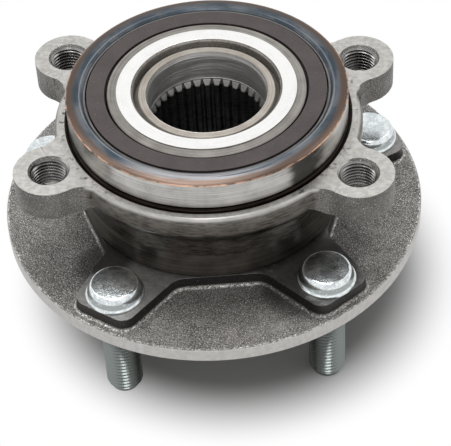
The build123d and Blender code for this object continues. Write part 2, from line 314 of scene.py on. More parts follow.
@dataclass(frozen=True)
class Place:
    """Where a shaded point lies on the part, in millimetres.

    Attributes:
        sheet: Node sheet that the signals belong to.
        x: Distance along X.
        y: Distance along Y.
        z: Height along the bearing axis.
        radius: Distance from the bearing axis.
    """

    sheet: Sheet
    x: Signal
    y: Signal
    z: Signal
    radius: Signal

    def solid(self) -> Socket:
        """Position as a vector, for patterns that fill the metal.

        Returns:
            The vector.
        """
        return self.sheet.vector(self.x, self.y, self.z)

    def near(self, spot: Spot) -> Signal:
        """Mask of a round patch.

        Args:
            spot: The patch.

        Returns:
            The mask.
        """
        across, along = self.x - spot.x, self.y - spot.y
        return (across * across + along * along).math("SQRT").rise(spot.none_r, spot.full_r)

    def turned(self, along: Along, spread: float) -> Socket:
        """Position for tool marks, which run round the axis.

        Args:
            along: Way that the marks are spaced.
            spread: Share of the way round that a mark keeps its shade.

        Returns:
            Vector that changes quickly across the marks and slowly along them.
        """
        across = self.z if along is Along.AXIS else self.radius
        return self.sheet.vector(across, self.x * spread, self.y * spread)


# ---- finishes


@dataclass(frozen=True)
class Surface:
    """What one finish gives a surface.

    Attributes:
        colour: Base colour.
        rough: Roughness.
        metal: Metallic share.
        height: Height of its relief in millimetres.
    """

    colour: Value
    rough: Value
    metal: Value
    height: Value

    def topped(self, mask: Signal, top: "Surface") -> "Surface":
        """Lay another surface over this one.

        Args:
            mask: 1 where the other surface shows.
            top: The other surface.

        Returns:
            The two together.
        """
        return Surface(
            mask.sheet.mix(mask, self.colour, top.colour),
            blend(self.rough, top.rough, mask),
            blend(self.metal, top.metal, mask),
            blend(self.height, top.height, mask),
        )

    def stained_or_shaded(self, mask: Signal, tint: Colour, rough: float) -> "Surface":
        """Lay a stain, or a painted shade or reflection, over the surface, which hides none of its
        relief.

        Args:
            mask: 1 where the stain or painted shade is full.
            tint: Colour of the stain or painted shade.
            rough: Roughness under the stain or painted shade.

        Returns:
            The surface with the stain or painted shade.
        """
        colour = mask.sheet.mix(mask, self.colour, tint)
        return Surface(colour, blend(self.rough, rough, mask), self.metal, self.height)


def blend(low: Value, high: Value, mask: Signal) -> Signal:
    """Blend two numbers.

    Args:
        low: Number where the mask is 0.
        high: Number where the mask is 1.
        mask: The mask.

    Returns:
        The blended number.
    """
    return mask * (high - low) + low


class Finish(ABC):
    """Look of one kind of metal, rubber or plastic, which is called to make its nodes."""

    @abstractmethod
    def __call__(self, place: Place) -> Surface:
        """Make the nodes of the finish.

        Args:
            place: Position on the part.

        Returns:
            The surface.
        """


@dataclass(frozen=True)
class Forged(Finish):
    """Shot-blasted forging skin: dark, with a fine grain over soft blotches, and light specks painted in
    as highlights.
    """

    dark: Colour = (0.075, 0.070, 0.065)
    light: Colour = (0.35, 0.335, 0.315)
    painted_glint: Colour = (0.95, 0.93, 0.90)
    grain: float = 0.46
    depth: float = 0.34
    glint_start: float = 0.57
    rough: float = 0.50
    metal: float = 0.45
    blotch: float = 11.0

    def __call__(self, place: Place) -> Surface:
        """Make the nodes of the forging skin."""
        sheet = place.sheet
        solid = place.solid()
        grain = sheet.noise(solid, self.grain, 4.0, 0.70)
        blotch = sheet.noise(solid, self.blotch, 4.0, 0.6)
        tone = (grain * 0.8 + blotch * 0.3 - 0.05).rise(0.40, 0.66)
        # Painted highlights: light specks in the colour stand for the skin catching the lamps.
        painted_glint = sheet.noise(solid, self.grain * 0.7, 2.0).rise(self.glint_start, self.glint_start + 0.12)
        colour = sheet.mix(painted_glint, sheet.mix(tone, self.dark, self.light), self.painted_glint)
        pits = sheet.cells(solid, self.grain * 1.8).rise(0.55, 0.05)
        rough = self.rough - painted_glint * 0.14 + pits * 0.12
        return Surface(colour, rough, self.metal, (grain * 0.8 - pits * 0.4) * self.depth)


@dataclass(frozen=True)
class Turned(Finish):
    """Machined steel with the fine rings of a turning tool."""

    dark: Colour = (0.34, 0.33, 0.315)
    light: Colour = (0.60, 0.585, 0.56)
    along: Along = Along.AXIS
    pitch: float = 0.45
    rough: float = 0.30
    depth: float = 0.012
    metal: float = 1.0
    spread: float = 0.01
    stain: float = 6.0

    def __call__(self, place: Place) -> Surface:
        """Make the nodes of the turned metal."""
        sheet = place.sheet
        marks = sheet.noise(place.turned(self.along, self.spread), self.pitch, 2.0)
        stain = sheet.noise(place.solid(), self.stain, 4.0, 0.6)
        tone = (marks * 0.6 + stain * 0.4).rise(0.32, 0.68)
        rough = marks * 0.14 + stain * 0.10 + (self.rough - 0.12)
        colour = sheet.mix(tone, self.dark, self.light)
        return Surface(colour, rough, self.metal, marks * self.depth)


@dataclass(frozen=True)
class Milled(Finish):
    """Milled face with small dirt pits and faint scratches."""

    pale: Colour = (0.52, 0.508, 0.486)
    grey: Colour = (0.37, 0.358, 0.338)
    dirt: Colour = (0.08, 0.07, 0.06)
    rough: float = 0.42
    metal: float = 0.9
    wear: float = 1.8
    line: float = 0.5
    speck: float = 0.45

    def __call__(self, place: Place) -> Surface:
        """Make the nodes of the milled face."""
        sheet = place.sheet
        wear = sheet.noise(place.solid(), self.wear, 5.0, 0.70)
        lines = sheet.noise(sheet.vector(place.x * 0.12, place.y, 0.0), self.line, 2.0)
        specks = sheet.noise(place.solid(), self.speck, 3.0, 0.6).rise(0.67, 0.74)
        colour = sheet.mix((wear * 0.75 + lines * 0.25).rise(0.35, 0.65), self.grey, self.pale)
        colour = sheet.mix(specks * 0.8, colour, self.dirt)
        rough = wear * 0.16 + specks * 0.25 + (self.rough - 0.08)
        return Surface(colour, rough, self.metal, lines * 0.006 - specks * 0.05)


@dataclass(frozen=True)
class Tinted(Finish):
    """Induction-hardened steel: blue by the bore, turning straw and brown outwards, with painted
    highlights on its front and along a ridge near the bore, and copper specks at the outer edge that are
    partly a painted edge highlight.
    """

    blue: Colour = (0.050, 0.068, 0.088)
    grey: Colour = (0.140, 0.156, 0.172)
    brown: Colour = (0.105, 0.076, 0.062)
    copper: Colour = (0.46, 0.28, 0.19)
    pale: Colour = (0.29, 0.29, 0.30)
    start_r: float = 41.6
    end_r: float = 43.6
    edge_r: float = 44.9
    highlight_front_y: float = -37.0
    rough: float = 0.30
    drift: float = 5.0
    ring: float = 0.5
    fleck: float = 1.6

    def __call__(self, place: Place) -> Surface:
        """Make the nodes of the tinted steel."""
        sheet = place.sheet
        drift = sheet.noise(place.turned(Along.RADIUS, 0.35), self.drift, 4.0, 0.6)
        rings = sheet.noise(place.turned(Along.RADIUS, 0.02), self.ring, 2.0)
        colour = sheet.mix(drift.rise(0.36, 0.66), self.blue, self.grey)
        # Painted highlights: the front of the face and a narrow ridge near the bore are painted pale,
        # where they catch the light.
        ridge = place.radius.band(self.start_r - 1.25, self.start_r - 0.75, 0.4)
        front_and_ridge_highlight = place.y.rise(self.highlight_front_y + 5, self.highlight_front_y - 3) | ridge * 0.7
        colour = sheet.mix(front_and_ridge_highlight * rings.rise(0.30, 0.60), colour, self.pale)
        heat = (place.radius + (drift - 0.5) * 2.0).rise(self.start_r, self.end_r)
        colour = sheet.mix(heat, colour, self.brown)
        # The outer edge takes copper temper colour in broken specks; their lightness is partly a painted
        # highlight along that edge.
        copper_flecks_and_glints = sheet.noise(place.turned(Along.RADIUS, 0.45), self.fleck, 3.0, 0.6)
        edge = place.radius.rise(self.edge_r - 0.25, self.edge_r - 0.05)
        colour = sheet.mix(copper_flecks_and_glints.rise(0.34, 0.60) * edge, colour, self.copper)
        rough = rings * 0.16 + drift * 0.10 + (self.rough - 0.11)
        return Surface(colour, rough, 1.0, rings * 0.008)


@dataclass(frozen=True)
class Plated(Finish):
    """Bright zinc plate with soft passivation clouds and small dents, and painted shade on the shank and
    on part of the head.
    """

    pale: Colour = (0.88, 0.92, 0.925)
    cool: Colour = (0.58, 0.635, 0.66)
    shade: Colour = (0.21, 0.232, 0.226)
    rough: float = 0.18
    cloud: float = 1.7
    dent: float = 0.7
    scratch: float = 0.35
    shank_z: float = 3.0
    flare_low: float = 10.8
    flare_top: float = 12.6
    top_z: float = 14.45

    def __call__(self, place: Place) -> Surface:
        """Make the nodes of the zinc plate."""
        sheet = place.sheet
        cloud = sheet.noise(place.solid(), self.cloud, 5.0, 0.70)
        dents = sheet.noise(place.solid(), self.dent, 2.0)
        scratch = sheet.noise(place.solid(), self.scratch, 2.0).rise(0.60, 0.70)
        # Painted shade: the threaded shank under the flange is painted dark.
        shank = place.z.rise(self.shank_z, self.shank_z - 3.0)
        colour = sheet.mix(cloud.rise(0.36, 0.64) + scratch * 0.5, self.cool, self.pale)
        # Painted shade: patches round the flared part of the head are painted dark, where it reflects
        # shade.
        flare = place.z.band(self.flare_low, self.flare_top, 0.4)
        flare = flare * cloud.rise(0.30, 0.50) * 0.75
        colour = sheet.mix(shank | flare, colour, self.shade)
        worn = place.z.rise(self.top_z - 0.5, self.top_z + 0.1)
        rough = cloud * 0.16 + dents * 0.06 + worn * 0.03 + (self.rough - 0.08)
        return Surface(colour, rough, 1.0, dents * (worn * 0.03 + 0.014))


@dataclass(frozen=True)
class Ground(Finish):
    """Bright ground steel, nearly a mirror, with very fine rings."""

    pale: Colour = (0.94, 0.935, 0.92)
    grey: Colour = (0.86, 0.855, 0.84)
    rough: float = 0.20
    ring: float = 0.25
    cloud: float = 5.0

    def __call__(self, place: Place) -> Surface:
        """Make the nodes of the ground steel."""
        sheet = place.sheet
        rings = sheet.noise(place.turned(Along.RADIUS, 0.01), self.ring, 2.0)
        cloud = sheet.noise(place.solid(), self.cloud, 3.0)
        tone = (rings * 0.5 + cloud * 0.5).rise(0.3, 0.6)
        rough = rings * 0.12 + (self.rough - 0.06)
        return Surface(sheet.mix(tone, self.grey, self.pale), rough, 1.0, rings * 0.003)


@dataclass(frozen=True)
class Moulded(Finish):
    """Rubber or plastic with a faint moulded grain and dust."""

    dark: Colour = (0.030, 0.026, 0.025)
    light: Colour = (0.060, 0.052, 0.049)
    dust: Colour = (0.30, 0.28, 0.26)
    grain: float = 0.5
    rough: float = 0.62
    cloud: float = 7.0
    speck: float = 0.4

    def __call__(self, place: Place) -> Surface:
        """Make the nodes of the moulded material."""
        sheet = place.sheet
        grain = sheet.noise(place.solid(), self.grain, 3.0)
        cloud = sheet.noise(place.solid(), self.cloud, 3.0)
        colour = sheet.mix((grain * 0.5 + cloud * 0.5).rise(0.35, 0.65), self.dark, self.light)
        specks = sheet.noise(place.solid(), self.speck, 2.0, 0.5).rise(0.70, 0.76)
        colour = sheet.mix(specks, colour, self.dust)
        return Surface(colour, grain * 0.2 + (self.rough - 0.1), 0.0, grain * 0.02)


SKIN = Forged()
TURNED = Turned()
TURNED_FACE = Turned(along=Along.RADIUS)
MILLED = Milled()
TINTED = Tinted()
ZINC = Plated()
GROUND = Ground()
RUBBER = Moulded((0.010, 0.010, 0.010), (0.022, 0.022, 0.022))
ENCODER = Moulded((0.036, 0.026, 0.026), (0.060, 0.045, 0.044), (0.50, 0.46, 0.43), 0.35, 0.55)
NYLON = Moulded((0.030, 0.030, 0.032), (0.060, 0.060, 0.062), (0.12, 0.12, 0.12), 0.8, 0.5)
DARK_SHEET = Turned((0.10, 0.10, 0.10), (0.22, 0.215, 0.21), Along.RADIUS, 0.8, 0.42)
BLACK_SHEET = Turned((0.012, 0.012, 0.012), (0.035, 0.034, 0.033), Along.RADIUS, 0.8, 0.40)
LAPPED = Ground((0.93, 0.93, 0.93), (0.85, 0.85, 0.85), 0.10)
TAPPED = Turned((0.14, 0.136, 0.131), (0.34, 0.333, 0.323), rough=0.24)

RING_SKIN = Forged((0.105, 0.098, 0.090), (0.30, 0.288, 0.270), grain=0.42, depth=0.16, glint_start=0.62)
PLATE_EDGE = Turned((0.070, 0.064, 0.057), (0.19, 0.178, 0.162), Along.AXIS, 0.35, 0.36, 0.06, 1.0, 0.12)
# Dark barrel forging; where it reaches up the plate's edge it is also painted shade.
DARK_BARREL = Turned((0.036, 0.032, 0.027), (0.125, 0.112, 0.098), Along.AXIS, 0.6, 0.30, 0.06, 1.0, 0.15)
BARREL_BAND = Turned((0.085, 0.075, 0.065), (0.20, 0.182, 0.163), pitch=0.9, rough=0.30)
# Painted shade for the undercut groove.
GROOVE_SHADE = Turned((0.006, 0.005, 0.004), (0.030, 0.022, 0.018), rough=0.35)

# Near black: dark forging skin, and painted shade on the pads' side walls.
PAD_WALL_AND_SHADE = Forged((0.008, 0.007, 0.006), (0.036, 0.033, 0.030), depth=0.12, glint_start=0.70, rough=0.36)
PAD_FACE = Milled((0.32, 0.312, 0.30), (0.22, 0.213, 0.205), (0.06, 0.055, 0.05), 0.36, 0.5)
RIM_EDGE = Milled((0.56, 0.545, 0.53), (0.46, 0.445, 0.43), (0.20, 0.19, 0.18), 0.46)
# Light specks painted in as highlights on curved edges.
PAINTED_EDGE_HIGHLIGHT = Forged((0.20, 0.19, 0.18), (0.75, 0.73, 0.70), grain=0.6, glint_start=0.50, rough=0.34, metal=0.8)
PLAIN_BORE = Turned((0.66, 0.65, 0.635), (0.95, 0.94, 0.925), Along.AXIS, 0.4, 0.38, 0.24, 0.9)
BROACHED = Turned((0.065, 0.065, 0.065), (0.17, 0.17, 0.168), rough=0.45)
END_FACE = Turned((0.32, 0.285, 0.245), (0.50, 0.465, 0.42), Along.RADIUS, rough=0.34)
END_SIDE = Turned((0.17, 0.16, 0.145), (0.34, 0.32, 0.29), Along.AXIS, 0.4, 0.50, 0.12, 0.4)
CORNER = Turned((0.19, 0.178, 0.162), (0.32, 0.304, 0.284), Along.RADIUS, rough=0.36)
DULL_BORE = Turned((0.15, 0.142, 0.13), (0.32, 0.305, 0.28), Along.AXIS, 0.4, 0.50, 0.12, 0.4)

NEAR_BLACK = (0.014, 0.013, 0.012)
DARK_REFLECTION = (0.05, 0.048, 0.044)
RUST = (0.13, 0.075, 0.045)


def material(name: str, recipe: Callable[[Place], Surface]) -> bpy.types.Material:
    """Make a material.

    Args:
        name: Name of the material.
        recipe: Gives the surface at each place on the part.

    Returns:
        The material.
    """
    made = bpy.data.materials.new(name)
    sheet = Sheet(made)
    surface = recipe(sheet.place())
    relief = {"Height": surface.height, "Distance": MM, "Strength": 1.0}
    sockets = {
        "Base Color": surface.colour,
        "Roughness": surface.rough,
        "Metallic": surface.metal,
        "Normal": sheet.node("ShaderNodeBump", {}, relief).outputs[0],
    }
    shader = sheet.node("ShaderNodeBsdfPrincipled", {}, sockets)
    sheet.node("ShaderNodeOutputMaterial", {}, {0: shader.outputs[0]})
    return made


# ---- modelling


class Bench:
    """Edit-mode operations, each on one object at a time."""

    @staticmethod
    def clear() -> None:
        """Leave edit mode and deselect everything."""
        if bpy.context.object and bpy.context.object.mode != "OBJECT":
            bpy.ops.object.mode_set(mode="OBJECT")
        bpy.ops.object.select_all(action="DESELECT")

    @staticmethod
    def pick(piece: Piece) -> None:
        """Make one object the only selected and active one.

        Args:
            piece: The object.
        """
        Bench.clear()
        piece.select_set(True)
        bpy.context.view_layer.objects.active = piece

    @staticmethod
    def edit(piece: Piece) -> None:
        """Open one object in edit mode with everything selected.

        Args:
            piece: The object.
        """
        Bench.pick(piece)
        bpy.ops.object.mode_set(mode="EDIT")
        bpy.ops.mesh.select_all(action="SELECT")

    @staticmethod
    def polygon(name: str, points: Sequence[Sequence[float]], fill: str) -> Piece:
        """Primitive circle, its vertices moved to other places.

        Args:
            name: Name of the new object.
            points: The places (x, y, z) in millimetres.
            fill: NGON for a face inside, NOTHING for a wire.

        Returns:
            The polygon.
        """
        Bench.clear()
        bpy.ops.mesh.primitive_circle_add(vertices=len(points), radius=MM, fill_type=fill)
        piece = bpy.context.object
        piece.name = name
        for vertex, point in zip(piece.data.vertices, points):
            vertex.co = Vector([value * MM for value in point])
        return piece

    @staticmethod
    def outline(name: str, points: Sequence[Point], close: bool) -> Piece:
        """Wire of (radius, height) points in the XZ plane.

        Args:
            name: Name of the new object.
            points: The points in millimetres.
            close: Keeps the edge from the last point to the first.

        Returns:
            The wire.
        """
        wire = Bench.polygon(name, [(radius, 0, height) for radius, height in points], "NOTHING")
        if not close:
            Bench.cut_edge(wire, len(points) - 1, 0)
        return wire

    @staticmethod
    def cut_edge(wire: Piece, first: int, second: int) -> None:
        """Delete the edge between two vertices.

        Args:
            wire: Object that holds it.
            first: Index of one vertex.
            second: Index of the other.
        """
        Bench.edit(wire)
        bpy.ops.mesh.select_all(action="DESELECT")
        mesh = bmesh.from_edit_mesh(wire.data)
        mesh.verts.ensure_lookup_table()
        edge = mesh.edges.get((mesh.verts[first], mesh.verts[second]))
        edge.select_set(True)
        bmesh.update_edit_mesh(wire.data)
        bpy.ops.mesh.delete(type="EDGE")
        bpy.ops.object.mode_set(mode="OBJECT")

    @staticmethod
    def spun(name: str, points: Sequence[Point], steps: int) -> Piece:
        """Turn a closed outline about Z in edit mode.

        Args:
            name: Name of the new object.
            points: Closed outline of (radius, height) in millimetres.
            steps: Facets round the axis.

        Returns:
            The turned solid.
        """
        piece = Bench.outline(name, points, close=True)
        Bench.edit(piece)
        bpy.ops.mesh.spin(steps=steps, angle=2 * pi, center=(0, 0, 0), axis=(0, 0, 1))
        Bench.heal()
        return piece

    @staticmethod
    def drafted(
        name: str, foot: Sequence[Point], top: Sequence[Point], low: float, high: float
    ) -> Piece:
        """Extrude a closed plan upwards and draw its top in.

        Args:
            name: Name of the new object.
            foot: Closed outline of (x, y) in millimetres at the foot.
            top: Outline at the top, with as many points.
            low: Height of the foot.
            high: Height of the top.

        Returns:
            The drafted block.
        """
        piece = Bench.polygon(name, [(x, y, low) for x, y in foot], "NGON")
        lift = {"value": (0, 0, (high - low) * MM)}
        Bench.edit(piece)
        bpy.ops.mesh.extrude_region_move(TRANSFORM_OT_translate=lift)
        bpy.ops.object.mode_set(mode="OBJECT")
        for vertex, (x, y) in zip(piece.data.vertices[len(foot):], top):
            vertex.co = Vector((x * MM, y * MM, high * MM))
        Bench.edit(piece)
        Bench.heal()
        return piece

    @staticmethod
    def merged(node: Piece, name: str) -> Piece:
        """Copy a CAD node's loose triangles into one closed mesh.

        Args:
            node: The CAD node.
            name: Name of the copy.

        Returns:
            The copy.
        """
        piece = bpy.data.objects.new(name, node.data.copy())
        bpy.context.scene.collection.objects.link(piece)
        Bench.pick(piece)
        bpy.ops.mesh.customdata_custom_splitnormals_clear()
        Bench.edit(piece)
        Bench.heal()
        return piece

    @staticmethod
    def heal() -> None:
        """Merge doubles and point every normal outward, then leave edit mode."""
        bpy.ops.mesh.select_all(action="SELECT")
        bpy.ops.mesh.remove_doubles(threshold=WELD)
        bpy.ops.mesh.dissolve_degenerate(threshold=WELD)
        bpy.ops.mesh.select_all(action="SELECT")
        bpy.ops.mesh.normals_make_consistent(inside=False)
        bpy.ops.object.mode_set(mode="OBJECT")

    @staticmethod
    def screwed(piece: Piece, pitch: float, turns: int, steps: int) -> None:
        """Run an outline up a helix about Z.

        Args:
            piece: The outline, which becomes the helix.
            pitch: Rise of each turn in millimetres.
            turns: Number of turns.
            steps: Facets in a turn.
        """
        Bench.pick(piece)
        screw = piece.modifiers.new("thread", "SCREW")
        screw.screw_offset = pitch * MM
        screw.iterations = turns
        screw.steps = steps
        screw.render_steps = steps
        screw.use_merge_vertices = True
        screw.merge_threshold = WELD
        bpy.ops.object.modifier_apply(modifier=screw.name)

    @staticmethod
    def sliced(piece: Piece, height: float, keep_above: bool) -> None:
        """Cut an object level and close the cut.

        Args:
            piece: The object.
            height: Height of the cut in millimetres.
            keep_above: Keeps what is above the cut, and otherwise what is below.
        """
        Bench.edit(piece)
        bpy.ops.mesh.bisect(
            plane_co=(0, 0, height * MM),
            plane_no=(0, 0, 1),
            use_fill=True,
            clear_inner=keep_above,
            clear_outer=not keep_above,
        )
        Bench.heal()

    @staticmethod
    def combined(piece: Piece, tool: Piece, how: str) -> None:
        """Combine a closed object with another, which is used up.

        Args:
            piece: Object that keeps the result.
            tool: The other object.
            how: UNION, INTERSECT or DIFFERENCE.
        """
        Bench.pick(piece)
        join = piece.modifiers.new("join", "BOOLEAN")
        join.object = tool
        join.operation = how
        join.solver = "EXACT"
        bpy.ops.object.modifier_apply(modifier=join.name)
        bpy.data.objects.remove(tool)

    @staticmethod
    def smooth(piece: Piece, angle: float) -> None:
        """Shade an object smooth up to an angle.

        Args:
            piece: The object.
            angle: Sharpest smooth edge in degrees.
        """
        Bench.pick(piece)
        bpy.ops.object.shade_smooth_by_angle(angle=radians(angle))

    @staticmethod
    def copy(piece: Piece, name: str, move: Matrix) -> Piece:
        """Copy an object with a mesh of its own, and move that mesh.

        Args:
            piece: The object.
            name: Name of the copy.
            move: Matrix applied to the copy's mesh.

        Returns:
            The copy.
        """
        Bench.pick(piece)
        bpy.ops.object.duplicate(linked=False)
        twin = bpy.context.object
        twin.name = name
        Bench.settle(twin, move)
        return twin

    @staticmethod
    def settle(piece: Piece, move: Matrix) -> None:
        """Move an object's mesh, and leave the object at the origin.

        Args:
            piece: The object.
            move: Matrix applied to its mesh.
        """
        Bench.pick(piece)
        piece.matrix_world = move
        bpy.ops.object.transform_apply(location=True, rotation=True, scale=True)


def arc(centre: Point, radii: Point, start: float, end: float, steps: int) -> list[Point]:
    """Points along a round or oval arc.

    Args:
        centre: Its centre.
        radii: Its half width and half height.
        start: Angle of the first point.
        end: Angle of the last point.
        steps: Number of stretches between points.

    Returns:
        The points.
    """
    turns = [start + (end - start) * step / steps for step in range(steps + 1)]
    return [(centre[0] + radii[0] * cos(turn), centre[1] + radii[1] * sin(turn)) for turn in turns]


# ---- sub-assemblies


@dataclass
class OuterRing:
    """Stationary ring: where each finish lies on it, and the threads in its ears."""

    face_z: float = 41.9
    bevel_z: float = 52.1
    band_z: float = 20.2
    plate_z: float = 35.9
    barrel_r: float = 46.5
    spigot_r: float = 45.1
    undercut: float = 1.4
    bore_r: float = 39.5
    hole_r: float = 6.05
    sink_r: float = 6.7
    crest_r: float = 5.2
    pitch: float = 1.25
    ear_t: float = 10.7
    ear_x: float = 48.5
    ear_y: float = 27.5
    ear_r: float = 11.35
    neck_r: float = 8.0
    plate_r: float = 49.8
    land_r: float = 48.1
    shoulder_r: float = 4.6
    shoulder_out: float = 0.2
    shoulder_up: float = 0.9
    grime: float = 3.0
    clean_x: float = 24.0
    dirty_x: float = 34.0
    reflection_left: Spot = Spot(-43.0, -11.0, 22.0, 10.0)
    reflection_x: float = 35.0
    reflection_y: float = -14.0
    cutter_facets: int = 180
    hole_facets: int = 48
    thread_facets: int = 40
    arc_steps: int = 16
    shoulder_steps: int = 14
    smooth_angle: float = 32.0
    thread_smooth_angle: float = 35.0

    def metal(self, at: Place) -> Surface:
        """Finishes of the ring, region by region.

        Args:
            at: Position on the part.

        Returns:
            The surface.
        """
        radius, z, face_z = at.radius, at.z, self.face_z
        grime = at.sheet.noise(at.solid(), self.grime, 4.0, 0.65).rise(0.52, 0.66)
        grime = grime * radius.rise(self.spigot_r + 5.5, self.spigot_r + 2.0)
        grime = grime * at.x.math("ABSOLUTE").rise(self.clean_x, self.dirty_x)
        face = MILLED(at).stained_or_shaded(grime * 0.8, NEAR_BLACK, 0.25)
        # Painted dark reflection on two stretches of the spigot's turned side.
        side = TURNED(at).stained_or_shaded(self.painted_reflection(at) * 0.92, DARK_REFLECTION, 0.3)

        on_face = z.rise(face_z - 0.06, face_z - 0.02)
        plate = radius.rise(self.plate_r + 1.2, self.plate_r + 0.1)
        # Painted highlight: the top of the plate's edge takes the lighter turned finish, where that edge
        # catches the light.
        crest = plate * z.rise(face_z - 1.5, face_z - 0.4)
        # Below the plate's edge the dark barrel finish takes over, so the edge is painted darker towards
        # the bottom as shade; the barrel forging itself is dark too.
        under = plate * z.rise(self.plate_z + 5.2, self.plate_z + 1.2)
        low = z.rise(self.band_z + 0.3, self.band_z - 0.1)
        low = radius.rise(self.barrel_r, self.barrel_r - 1.0) * low
        # Painted shade: the undercut groove under the spigot is painted near black, where it lies in
        # shade.
        cut = z.rise(face_z - 1.3, face_z - 1.0)
        cut = radius.rise(self.spigot_r + 1.45, self.spigot_r + 1.2) * cut
        spigot = cut * z.rise(face_z + self.undercut - 0.2, face_z + self.undercut + 0.1)
        hard = z.rise(self.bevel_z - 0.12, self.bevel_z + 0.05)
        # Painted shade: the ring's steel bore inside the seals takes the black rubber finish, where it
        # lies in shade.
        bore = radius.rise(self.bore_r + 0.2, self.bore_r)

        surface = RING_SKIN(at).topped(plate, PLATE_EDGE(at))
        surface = surface.topped(crest, TURNED(at)).topped(under, DARK_BARREL(at))
        surface = surface.topped(low, BARREL_BAND(at)).topped(on_face, face)
        surface = surface.topped(cut, GROOVE_SHADE(at)).topped(spigot, side)
        return surface.topped(hard, TINTED(at)).topped(bore, RUBBER(at))

    def painted_reflection(self, at: Place) -> Signal:
        """Painted dark reflection on two stretches of the spigot's side.

        Args:
            at: Position on the part.

        Returns:
            1 where the painted reflection is darkest.
        """
        drift = at.sheet.noise(at.turned(Along.AXIS, 0.12), 3.0, 3.0) * 6.0
        right = (at.x + drift).band(self.reflection_x - 4.0, self.reflection_x + 4.0, 3.0)
        right = right * at.y.rise(self.reflection_y, self.reflection_y - 6.0)
        return at.near(self.reflection_left) | right

    def forging(self) -> None:
        """Model the ring with its plate's upper edge rounded from ear to ear."""
        cutter = Bench.spun("shoulder_cutter", self.shoulder(), self.cutter_facets)
        low, high = self.face_z - self.shoulder_r - 0.5, self.face_z + 1
        for angle in self.ear_angles():
            foot = self.ear_plan(angle, self.plate_r + 0.1)
            keep = Bench.drafted("ear_keep", foot, self.ear_plan(angle, self.land_r), low, high)
            Bench.combined(cutter, keep, "DIFFERENCE")
        ring = Bench.merged(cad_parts["outer_ring"], "outer_ring_forging")
        Bench.combined(ring, cutter, "DIFFERENCE")
        Bench.smooth(ring, self.smooth_angle)
        present(ring, Body.OUTER, material("outer_ring_metal", self.metal))
        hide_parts("outer_ring")

    def shoulder(self) -> list[Point]:
        """Section of what is taken off the plate's upper edge.

        Returns:
            Closed outline of (radius, height).
        """
        centre_r = self.plate_r + self.shoulder_out - self.shoulder_r
        centre_z = self.face_z + self.shoulder_up - self.shoulder_r
        top_z = self.face_z + self.shoulder_up / 2
        start = acos((top_z - centre_z) / self.shoulder_r)
        radii = (self.shoulder_r, self.shoulder_r)
        upright = arc((centre_z, centre_r), radii, start, pi / 2, self.shoulder_steps)
        edge = [(radius, height) for height, radius in upright]
        outside = self.plate_r + 5
        high = self.face_z + 0.7
        return [*edge, (outside, centre_z), (outside, high), (edge[0][0], high)]

    def ear_angles(self) -> list[float]:
        """Angles of the four ears round the bearing axis.

        Returns:
            The angles, in radians.
        """
        first = atan2(self.ear_y, self.ear_x)
        return [-first, first, pi - first, pi + first]

    def ear_plan(self, angle: float, middle_r: float) -> list[Point]:
        """Plan of one ear, with the two necks that join it to a circle about the axis.

        Args:
            angle: Angle of the ear round the bearing axis.
            middle_r: Radius of the circle.

        Returns:
            Closed outline of (x, y).
        """
        far = hypot(self.ear_x, self.ear_y)
        to_axis = middle_r + self.neck_r
        to_ear = self.ear_r + self.neck_r
        neck_x = (far * far + to_axis * to_axis - to_ear * to_ear) / (2 * far)
        neck_y = sqrt(to_axis * to_axis - neck_x * neck_x)
        first = atan2(-neck_y, -neck_x)
        last = atan2(-neck_y, far - neck_x)
        tip = atan2(neck_y, neck_x - far)
        root = (middle_r * 0.9 * cos(first + pi), middle_r * 0.9 * sin(first + pi))
        radii = (self.neck_r, self.neck_r)
        neck = arc((neck_x, neck_y), radii, first, last, self.arc_steps)
        ear = arc((far, 0), (self.ear_r, self.ear_r), 0.0, tip, self.arc_steps)
        side = [root, *neck, *ear[-2::-1]]
        plan = side + [(x, -y) for x, y in reversed(side[:-1])]
        return [(x * cos(angle) - y * sin(angle), x * sin(angle) + y * cos(angle)) for x, y in plan]

    def threads(self) -> None:
        """Cut the M12 threads that show in the four ears."""
        tapped = material("tapped_steel", TAPPED)
        for number, (side_x, side_y) in enumerate(((1, 1), (-1, 1), (-1, -1), (1, -1)), 1):
            coil = self.coil(f"ear_thread_{number}")
            move = Matrix.Translation((side_x * self.ear_x * MM, side_y * self.ear_y * MM, 0))
            Bench.settle(coil, move)
            present(coil, Body.OUTER, tapped)

    def coil(self, name: str) -> Piece:
        """One internal thread about Z: a ridge wound up the hole's wall.

        Args:
            name: Name of the piece.

        Returns:
            The thread.
        """
        low, root, crest = self.face_z - self.ear_t, self.hole_r, self.crest_r
        gap, half_flat, middle = 0.08, 0.1, self.pitch / 2
        ridge = [
            (root, gap),
            (root, self.pitch - gap),
            (crest, middle + half_flat),
            (crest, middle - half_flat),
        ]
        start = low - self.pitch
        coil = Bench.outline(name, [(r, z + start) for r, z in ridge], close=True)
        turns = int(self.ear_t / self.pitch) + 3
        Bench.screwed(coil, self.pitch, turns, self.thread_facets)
        Bench.edit(coil)
        bpy.ops.mesh.fill_holes(sides=0)
        Bench.heal()
        mouth = self.face_z - (self.sink_r - self.hole_r)
        envelope = [
            (root + 0.01, low + 0.05),
            (root + 0.01, mouth),
            (crest - 0.2, mouth - (root - crest) - 0.2),
            (crest - 0.2, low + 0.5),
        ]
        hole = Bench.spun("ear_envelope", envelope, self.hole_facets)
        Bench.combined(coil, hole, "INTERSECT")
        Bench.smooth(coil, self.thread_smooth_angle)
        return coil


